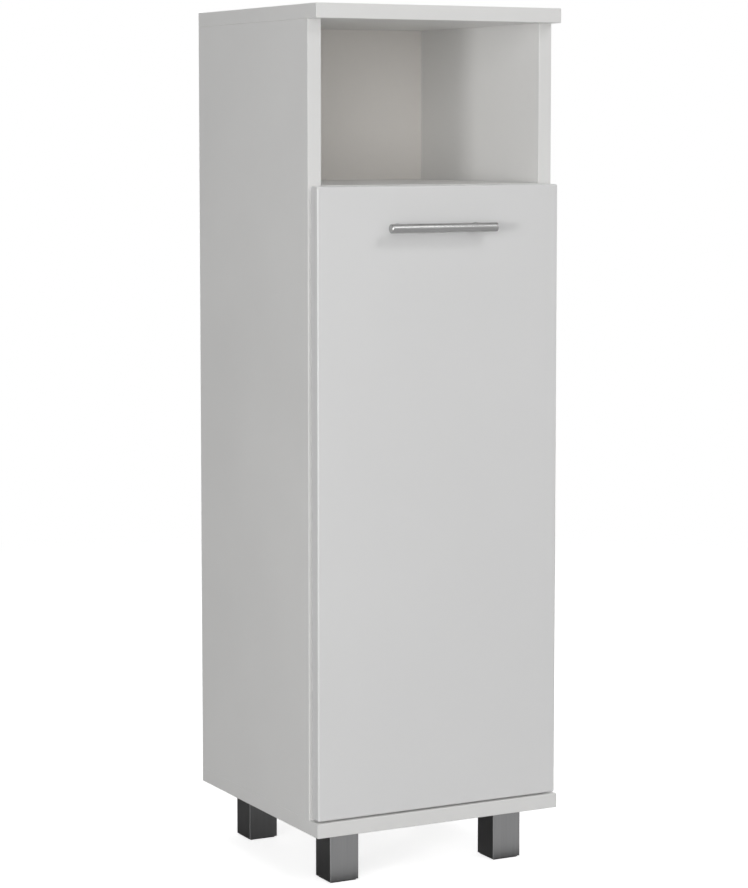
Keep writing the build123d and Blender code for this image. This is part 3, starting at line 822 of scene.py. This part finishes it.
@dataclass
class LaundryBag:
    """The cloth bag, hung on four rods of the wire frame by sewn sleeves.

    Folds are given by how close they stand, their drift on the way down and their share.
    """

    node: str = "laundry_bag"
    slot: str = "bag_cloth"
    seed: int = 7
    wire_radius: float = 3.0 * MM
    wire_bend: float = 20.0 * MM
    corner_room: float = 6.0 * MM
    cloth: float = 1.0 * MM
    taper: float = 14.0 * MM
    corner_taper: float = 0.6
    rim_below_wire: float = 4.6 * MM
    columns: int = 176
    rows: int = 92
    base_rings: int = 16
    base_keep: float = 0.12
    sewn: float = 0.055
    fold_start: float = 8.0
    fold_depth: float = 2.6 * MM
    broad_folds: Triple = (2.6, 1.3, 1.3)
    narrow_folds: Triple = (7.5, 0.9, 0.9)
    fullness: float = 0.024
    let_go: Triple = (0.6, 0.3, 0.1)
    frames: int = 36
    press: float = 0.5
    press_rounds: int = 4
    cap: float = 13.0 * MM
    seam_rise: float = 1.3 * MM
    seam_start: int = 3
    sleeve_gap: float = 0.5 * MM
    sleeve_cloth: float = 0.8 * MM
    sleeve_lift: float = 0.15 * MM
    sleeve_drop: float = 24.0 * MM
    sleeve_power: int = 3
    sleeve_steps: int = 8
    sleeve_points: int = 6
    sleeve_arc: int = 12
    sleeve_columns: int = 48
    pucker_depth: float = 0.25 * MM
    pucker_pitch: float = 90.0
    pucker_step: float = 9.0
    hem_radius: float = 0.9 * MM
    piping_radius: float = 1.9 * MM
    trim_sides: int = 10
    stitch_length: float = 3.2 * MM
    stitch_step: float = 4.6 * MM
    stitch_radius: float = 0.38 * MM
    stitch_drop: float = 19.0 * MM
    stitch_lift: float = 0.2 * MM
    stitch_tilt: float = 0.25 * MM
    stitch_sink: float = 0.25 * MM
    stitch_flat: float = 0.7
    stitch_sides: int = 6

    def __post_init__(self) -> None:
        """Read the rods' places from the frame."""
        low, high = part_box(self.node)
        wire_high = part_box("bag_frame")[1]
        self.wire_z = wire_high.z - self.wire_radius
        self.half_x = wire_high.x - self.wire_radius
        self.middle_y = (low.y + high.y) / 2
        self.half_y = wire_high.y - self.wire_radius - self.middle_y
        self.around = 4 * (self.half_x + self.half_y)
        self.rim_z = self.wire_z - self.rim_below_wire
        self.base_z = low.z + self.cloth / 2
        self.random = random.Random(self.seed)

    def ring(self, inset: float, z: float, radius: float) -> list[Vector]:
        """Evenly spaced points round the bag at one height.

        Args:
            inset: How far the cloth is drawn in from the rods.
            z: The height.
            radius: The corners' radius.

        Returns:
            The points, from the middle of the front towards +X.
        """
        runs = [self.half_x - inset - radius, self.half_y - inset - radius] * 2
        bend = math.pi / 2 * radius
        whole = 2 * sum(runs) + 4 * bend
        corners = [(1, -1), (1, 1), (-1, 1), (-1, -1)]
        ways = [(1, 0), (0, 1), (-1, 0), (0, -1)]
        points = []
        for i in range(self.columns):
            left = whole * i / self.columns + runs[0]
            side = 0
            while left > 2 * runs[side] + bend:
                left -= 2 * runs[side] + bend
                side = (side + 1) % 4
            way, turned, corner = ways[side], ways[(side + 1) % 4], corners[side]
            run = 2 * runs[side]
            angle = max(0.0, left - run) / radius
            ahead = min(0.0, left - run) + radius * math.sin(angle)
            drawn = radius * math.cos(angle)
            x, y = (c * r + ahead * w - drawn * t for c, r, w, t in zip(corner, runs, way, turned))
            points.append(Vector((x, y + self.middle_y, z)))
        return points

    def numbers(self, ring: int) -> range:
        """The point numbers of one ring of the cloth, counted from the rim."""
        return range(ring * self.columns, (ring + 1) * self.columns)

    def outward(self, point: Vector) -> Vector:
        """The level way out of the bag at a point."""
        return ((point - Vector((0, self.middle_y, 0))) * LEVEL).normalized()

    def fold(self, column: int, down: float) -> float:
        """How far the soft upright folds stand out.

        Args:
            column: The point's place round the bag.
            down: Its place from rim, 0, to base, 1.

        Returns:
            The distance, outward.
        """
        turn = 2 * math.pi * column / self.columns
        swell = math.sin(math.pi * down) if self.sewn < down < 1.0 else 0.0
        swell *= min(1.0, (down - self.sewn) * self.fold_start)
        waves = 0.0
        for (close, drift, share), seed in ((self.broad_folds, self.seed), (self.narrow_folds, -self.seed)):
            spot = Vector((close * math.cos(turn), close * math.sin(turn), drift * down + seed))
            waves += share * noise.noise(spot)
        return self.fold_depth * swell * waves

    def shell(self) -> Shape:
        """The bag's cloth before it hangs.

        Returns:
            The geometry, with its flat coordinates.
        """
        shape = bmesh.new()
        flat = shape.loops.layers.uv.new("cut")
        height = self.rim_z - self.base_z
        rings, depths = [], []
        for row in range(self.rows + 1):
            down = row / self.rows
            inset = self.taper * down
            points = self.ring(inset, self.rim_z - height * down, self.wire_bend - inset * self.corner_taper)
            moved = [p + self.outward(p) * self.fold(i, down) for i, p in enumerate(points)]
            rings.append([shape.verts.new(p) for p in moved])
            depths.append(height * down)
        edge = [v.co.copy() for v in rings[-1]]
        centre = Vector((0, self.middle_y, self.base_z))
        for step in range(1, self.base_rings + 1):
            keep = 1 - (1 - self.base_keep) * step / self.base_rings
            rings.append([shape.verts.new(centre + (p - centre) * keep) for p in edge])
            depths.append(height + (1 - keep) * self.half_y)
        faces = grid_faces(shape, rings, closed=True)
        last = shape.faces.new(list(reversed(rings[-1])))
        for number, face in enumerate(faces):
            row, column = divmod(number, self.columns)
            corners = ((column, row), (column, row + 1), (column + 1, row + 1), (column + 1, row))
            for loop, (i, j) in zip(face.loops, corners):
                loop[flat].uv = (self.around * i / self.columns, depths[j])
        for loop in last.loops:
            loop[flat].uv = (loop.vert.co.x, loop.vert.co.y)
        return shape

    def hang(self, bag: Object) -> None:
        """Let the cloth hang from its rim, with a little more cloth than the rods need.

        Args:
            bag: The bag, which gets its hung shape.
        """
        start = [v.co.copy() for v in bag.data.vertices]
        pins = bag.vertex_groups.new(name="rim")
        held = math.ceil(self.sewn * self.rows)
        for ring, share in enumerate([1.0] * held + list(self.let_go)):
            pins.add(list(self.numbers(ring)), share, "REPLACE")
        cloth = bag.modifiers.new("hang", "CLOTH")
        set_all(cloth.settings, quality=6, mass=0.002, tension_stiffness=12.0, compression_stiffness=8.0)
        set_all(cloth.settings, shear_stiffness=4.0, bending_stiffness=0.6, air_damping=3.0)
        set_all(cloth.settings, vertex_group_mass=pins.name, shrink_min=-self.fullness)
        cloth.collision_settings.use_collision = False
        cloth.point_cache.frame_end = self.frames
        press = bag.modifiers.new("press", "SMOOTH")
        set_all(press, factor=self.press, iterations=self.press_rounds)
        set_all(press, vertex_group=pins.name, invert_vertex_group=True)
        scene = bpy.context.scene
        for number in range(1, self.frames + 1):
            scene.frame_set(number)
        bake_modifiers(bag)
        scene.frame_set(1)
        for vertex, first in zip(bag.data.vertices, start):
            moved = vertex.co - first
            if moved.length > self.cap:
                vertex.co = first + moved * (self.cap / moved.length)

    def seams(self, bag: Object) -> None:
        """Raise a sewn ridge down each corner.

        Args:
            bag: The hung bag.
        """
        corner = (self.half_x - self.wire_bend / 2) / self.around
        for turn in (corner, 0.5 - corner, 0.5 + corner, 1.0 - corner):
            column = round(turn * self.columns) % self.columns
            for row in range(self.seam_start, self.rows):
                point = bag.data.vertices[row * self.columns + column]
                point.co += self.outward(point.co) * self.seam_rise

    def sleeve(self, shape: Shape, run: RodRun) -> None:
        """Add one sleeve, up outside the rod, over it and down inside.

        Args:
            shape: The geometry that it joins.
            run: The rod's covered run.
        """
        flat = shape.loops.layers.uv.verify()
        drop = self.sleeve_drop
        wide = self.wire_radius + self.sleeve_gap + self.sleeve_cloth / 2
        leg = self.cloth / 2 + self.sleeve_cloth / 2 + self.sleeve_lift
        falls = [drop - k * drop / self.sleeve_steps for k in range(self.sleeve_points)]
        outside = [(leg + (wide - leg) * (1 - fall / drop) ** self.sleeve_power, -fall) for fall in falls]
        arc = [math.pi * k / self.sleeve_arc for k in range(self.sleeve_arc + 1)]
        profile = outside + [(wide * math.cos(a), wide * math.sin(a)) for a in arc]
        profile += [(-t, z) for t, z in reversed(outside)]
        rows = []
        for i in range(self.sleeve_columns + 1):
            place = run.middle + run.along * run.length * (i / self.sleeve_columns - 0.5)
            x, y = place.x * self.pucker_pitch, place.y * self.pucker_pitch
            row = []
            for k, (t, z) in enumerate(profile):
                pucker = self.pucker_depth * noise.noise(Vector((x, y, self.pucker_step * k)))
                row.append(shape.verts.new(place + run.out * (t + pucker * math.copysign(1, t)) + UP * z))
            rows.append(row)
        for face in grid_faces(shape, rows, closed=False):
            for corner in face.loops:
                co = corner.vert.co
                corner[flat].uv = (co.dot(run.along), co.z + co.dot(run.out))

    def rods(self) -> list[RodRun]:
        """The covered runs of the four rods.

        Returns:
            The runs, side and end by turns.
        """
        room = 2 * (self.wire_bend + self.corner_room)
        made = []
        for sign in (-1, 1):
            side = Vector((sign * self.half_x, self.middle_y, self.wire_z))
            end = Vector((0, self.middle_y + sign * self.half_y, self.wire_z))
            made.append(RodRun(side, Vector((0, 1, 0)), Vector((sign, 0, 0)), 2 * self.half_y - room))
            made.append(RodRun(end, Vector((1, 0, 0)), Vector((0, sign, 0)), 2 * self.half_x - room))
        return made

    def stitches(self) -> Shape:
        """Rows of stitches that close the sleeves, inside and outside.

        Returns:
            The stitches' geometry.
        """
        shape = bmesh.new()
        off = self.cloth / 2 + self.sleeve_cloth + self.stitch_lift
        for run in self.rods():
            count = int(run.length / self.stitch_step)
            for i in range(count):
                place = run.middle + run.along * self.stitch_step * (i - (count - 1) / 2)
                for side in (-1, 1):
                    start = place + run.out * side * off - UP * self.stitch_drop
                    tilt = UP * (self.stitch_tilt * self.random.uniform(-1, 1))
                    half = run.along * self.stitch_length / 2 + tilt
                    flat = half * self.stitch_flat
                    sink = run.out * side * self.stitch_sink
                    path = [start - half - sink, start - flat, start, start + flat, start + half - sink]
                    tube(shape, path, self.stitch_radius, self.stitch_sides, closed=False)
        return shape

    def build(self) -> None:
        """Model the bag with its sleeves, hem, piping and stitches."""
        bag = piece_from("laundry_bag_cloth", self.shell(), BAG_CLOTH.material("bag_cloth"))
        self.hang(bag)
        self.seams(bag)
        rim, base = ([bag.data.vertices[i].co.copy() for i in self.numbers(row)] for row in (0, self.rows))
        self.thicken(bag, self.cloth)

        shape = bmesh.new()
        for run in self.rods():
            self.sleeve(shape, run)
        sleeves = piece_from("laundry_bag_sleeves", shape, BAG_TAPE.material("bag_tape"))
        self.thicken(sleeves, self.sleeve_cloth)
        trims = [sleeves]
        for name, path, radius in (("hem", rim, self.hem_radius), ("piping", base, self.piping_radius)):
            shape = bmesh.new()
            tube(shape, path, radius, self.trim_sides, closed=True)
            trims.append(piece_from(f"laundry_bag_{name}", shape, THREAD.material(f"bag_{name}")))
        trims.append(piece_from("laundry_bag_stitches", self.stitches(), THREAD.material("bag_thread")))
        for piece in [bag, *trims]:
            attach(piece, TILT_FRONT)
            LOG.info("modelled %s", piece.name)
        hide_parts(self.node)

    @staticmethod
    def thicken(piece: Object, thickness: float) -> None:
        """Give cloth its thickness, half to each side.

        Args:
            piece: The piece.
            thickness: The cloth's thickness.
        """
        solid = piece.modifiers.new("thickness", "SOLIDIFY")
        set_all(solid, thickness=thickness, offset=0.0)
        bake_modifiers(piece)


def set_up(data: bpy.types.ID, place: Vector, ahead: Vector) -> Object:
    """Put a camera or a lamp into the scene.

    Args:
        data: The camera or the lamp.
        place: Where it stands.
        ahead: The way it points.

    Returns:
        The new object.
    """
    made = bpy.data.objects.new(data.name, data)
    turn = ahead.to_track_quat("-Z", "Y")
    set_all(made, location=place, rotation_mode="QUATERNION", rotation_quaternion=turn)
    bpy.context.scene.collection.objects.link(made)
    return made


@dataclass(frozen=True)
class SoftLamp:
    """A square lamp, placed by degrees to the right of the object's front and above level."""

    name: str
    azimuth: float
    elevation: float
    distance: float
    size: float
    watts: float

    def build(self, aim: Vector) -> None:
        """Set the lamp up.

        Args:
            aim: The point that it lights.
        """
        data = bpy.data.lights.new(self.name, "AREA")
        set_all(data, shape="SQUARE", size=self.size, energy=self.watts)
        a, e = math.radians(self.azimuth), math.radians(self.elevation)
        back = Vector((math.sin(a) * math.cos(e), -math.cos(a) * math.cos(e), math.sin(e)))
        set_up(data, aim + back * self.distance, -back)


@dataclass
class Studio:
    """Floor, light and camera."""

    camera_place: Triple = (-1.4332, -2.7049, 0.8173)
    camera_yaw: float = math.radians(27.78)
    camera_pitch: float = math.radians(-5.09)
    focal_pixels: float = 2727.8
    picture_height: float = 888.0
    optical_row: float = 373.0
    sensor: float = 36.0
    floor_radius: float = 40.0
    floor_sides: int = 96
    floor_colour: Colour = (0.55, 0.55, 0.55)
    floor_in_gloss: Colour = (0.20, 0.20, 0.20)
    floor_seen: Colour = (0.9, 0.9, 0.9)
    floor_glow: float = 0.70
    floor_fade: Pair = (0.9, 2.4)
    floor_mirrored: float = 0.48
    mirror_fade: Pair = (-0.16, -0.11)
    gloss_levels: Pair = (0.9, 0.1)
    gloss_fade: Pair = (-0.4, 0.3)
    ambient: float = 0.16
    aim: Triple = (0.0, 0.0, 0.5)
    lamps: tuple[SoftLamp, ...] = (
        SoftLamp("top_soft", 30.0, 88.0, 3.2, 1.6, 22.0),
        SoftLamp("key_soft", 22.0, 38.0, 4.5, 1.1, 27.0),
        SoftLamp("front_soft", -4.0, 3.0, 4.5, 3.0, 19.0),
        SoftLamp("side_soft", -38.0, 5.0, 4.5, 3.0, 76.0),
        SoftLamp("left_soft", -59.0, 4.0, 4.0, 0.5, 30.0),
        SoftLamp("right_soft", 105.0, 8.0, 4.5, 3.0, 67.0),
        SoftLamp("rear_soft", 163.0, 8.0, 4.5, 3.0, 52.0),
    )

    def camera(self) -> None:
        """Place the camera where the photograph was taken."""
        data = bpy.data.cameras.new("camera")
        data.sensor_width = self.sensor
        data.lens = self.focal_pixels * self.sensor / self.picture_height
        data.shift_y = (self.optical_row - self.picture_height / 2) / self.picture_height
        level, rise = math.cos(self.camera_pitch), math.sin(self.camera_pitch)
        ahead = Vector((math.sin(self.camera_yaw) * level, math.cos(self.camera_yaw) * level, rise))
        bpy.context.scene.camera = set_up(data, Vector(self.camera_place), ahead)

    def rays(self, graph: Graph) -> tuple[Socket, Socket]:
        """Sockets that are 1 for what the camera sees, and 1 for what gloss or glass shows."""
        ray = graph.node("ShaderNodeLightPath").outputs
        return ray["Is Camera Ray"], graph.math("MAXIMUM", ray["Is Glossy Ray"], ray["Is Transmission Ray"])

    def world(self) -> None:
        """A white room, brighter in gloss in front of the object than behind it."""
        world = bpy.data.worlds.new("studio")
        world.use_nodes = True
        graph = Graph(world.node_tree, "Generated")
        room = world.node_tree.nodes["Background"]
        graph.put(room.inputs["Color"], (1.0, 1.0, 1.0, 1.0))
        camera, gloss = self.rays(graph)
        mirrored = graph.ramp(graph.axes()["Y"], self.gloss_fade, self.gloss_levels)
        seen = graph.math("MAXIMUM", camera, graph.math("MULTIPLY", gloss, mirrored))
        graph.put(room.inputs["Strength"], graph.math("MAXIMUM", self.ambient, seen))
        bpy.context.scene.world = world

    def floor(self) -> None:
        """A white floor that shows the shadow and fades into the room further out."""
        shape = bmesh.new()
        bmesh.ops.create_circle(shape, cap_ends=True, segments=self.floor_sides, radius=self.floor_radius)
        material = bpy.data.materials.new("floor")
        material.use_nodes = True
        nodes = material.node_tree.nodes
        nodes.remove(nodes["Principled BSDF"])
        graph = Graph(material.node_tree)
        away = graph.node("ShaderNodeVectorMath", {0: graph.where}, operation="LENGTH").outputs["Value"]
        far = graph.ramp(away, self.floor_fade, (0.0, 1.0))
        glow = graph.ramp(away, self.floor_fade, (self.floor_glow, 1.0))
        mirrored = graph.ramp(graph.axes()["Y"], self.mirror_fade, (self.floor_mirrored, 0.0))
        camera, gloss = self.rays(graph)
        tone = graph.mix(gloss, self.floor_colour, self.floor_in_gloss)
        tone = graph.mix(camera, tone, graph.mix(far, self.floor_seen, (0.0, 0.0, 0.0)))
        shown = graph.math("MULTIPLY", gloss, mirrored)
        shine = graph.math("ADD", graph.math("MULTIPLY", camera, glow), shown)
        matt = graph.node("ShaderNodeBsdfDiffuse", {"Color": tone})
        white = graph.node("ShaderNodeEmission", {"Strength": shine})
        both = graph.node("ShaderNodeAddShader", {0: matt.outputs[0], 1: white.outputs[0]})
        graph.put(nodes["Material Output"].inputs["Surface"], both.outputs[0])
        piece_from("floor", shape, material)

    def build(self) -> None:
        """Set up floor, light and camera."""
        bpy.context.scene.view_settings.view_transform = "Standard"
        self.world()
        self.floor()
        for lamp in self.lamps:
            lamp.build(Vector(self.aim))
        self.camera()
        LOG.info("set up the studio")


def main() -> None:
    """Build every sub-assembly in order."""
    logging.basicConfig(level=logging.INFO, format="%(name)s: %(message)s")
    Carcass().dress()
    LegSet().dress()
    FrontPanel().dress()
    TiltFittings().dress()
    for screws in (WOOD_SCREWS, HANDLE_SCREWS, CONNECTOR_SCREWS):
        screws.build()
    LaundryBag().build()
    Studio().build()


if __name__ == "__main__":
    main()
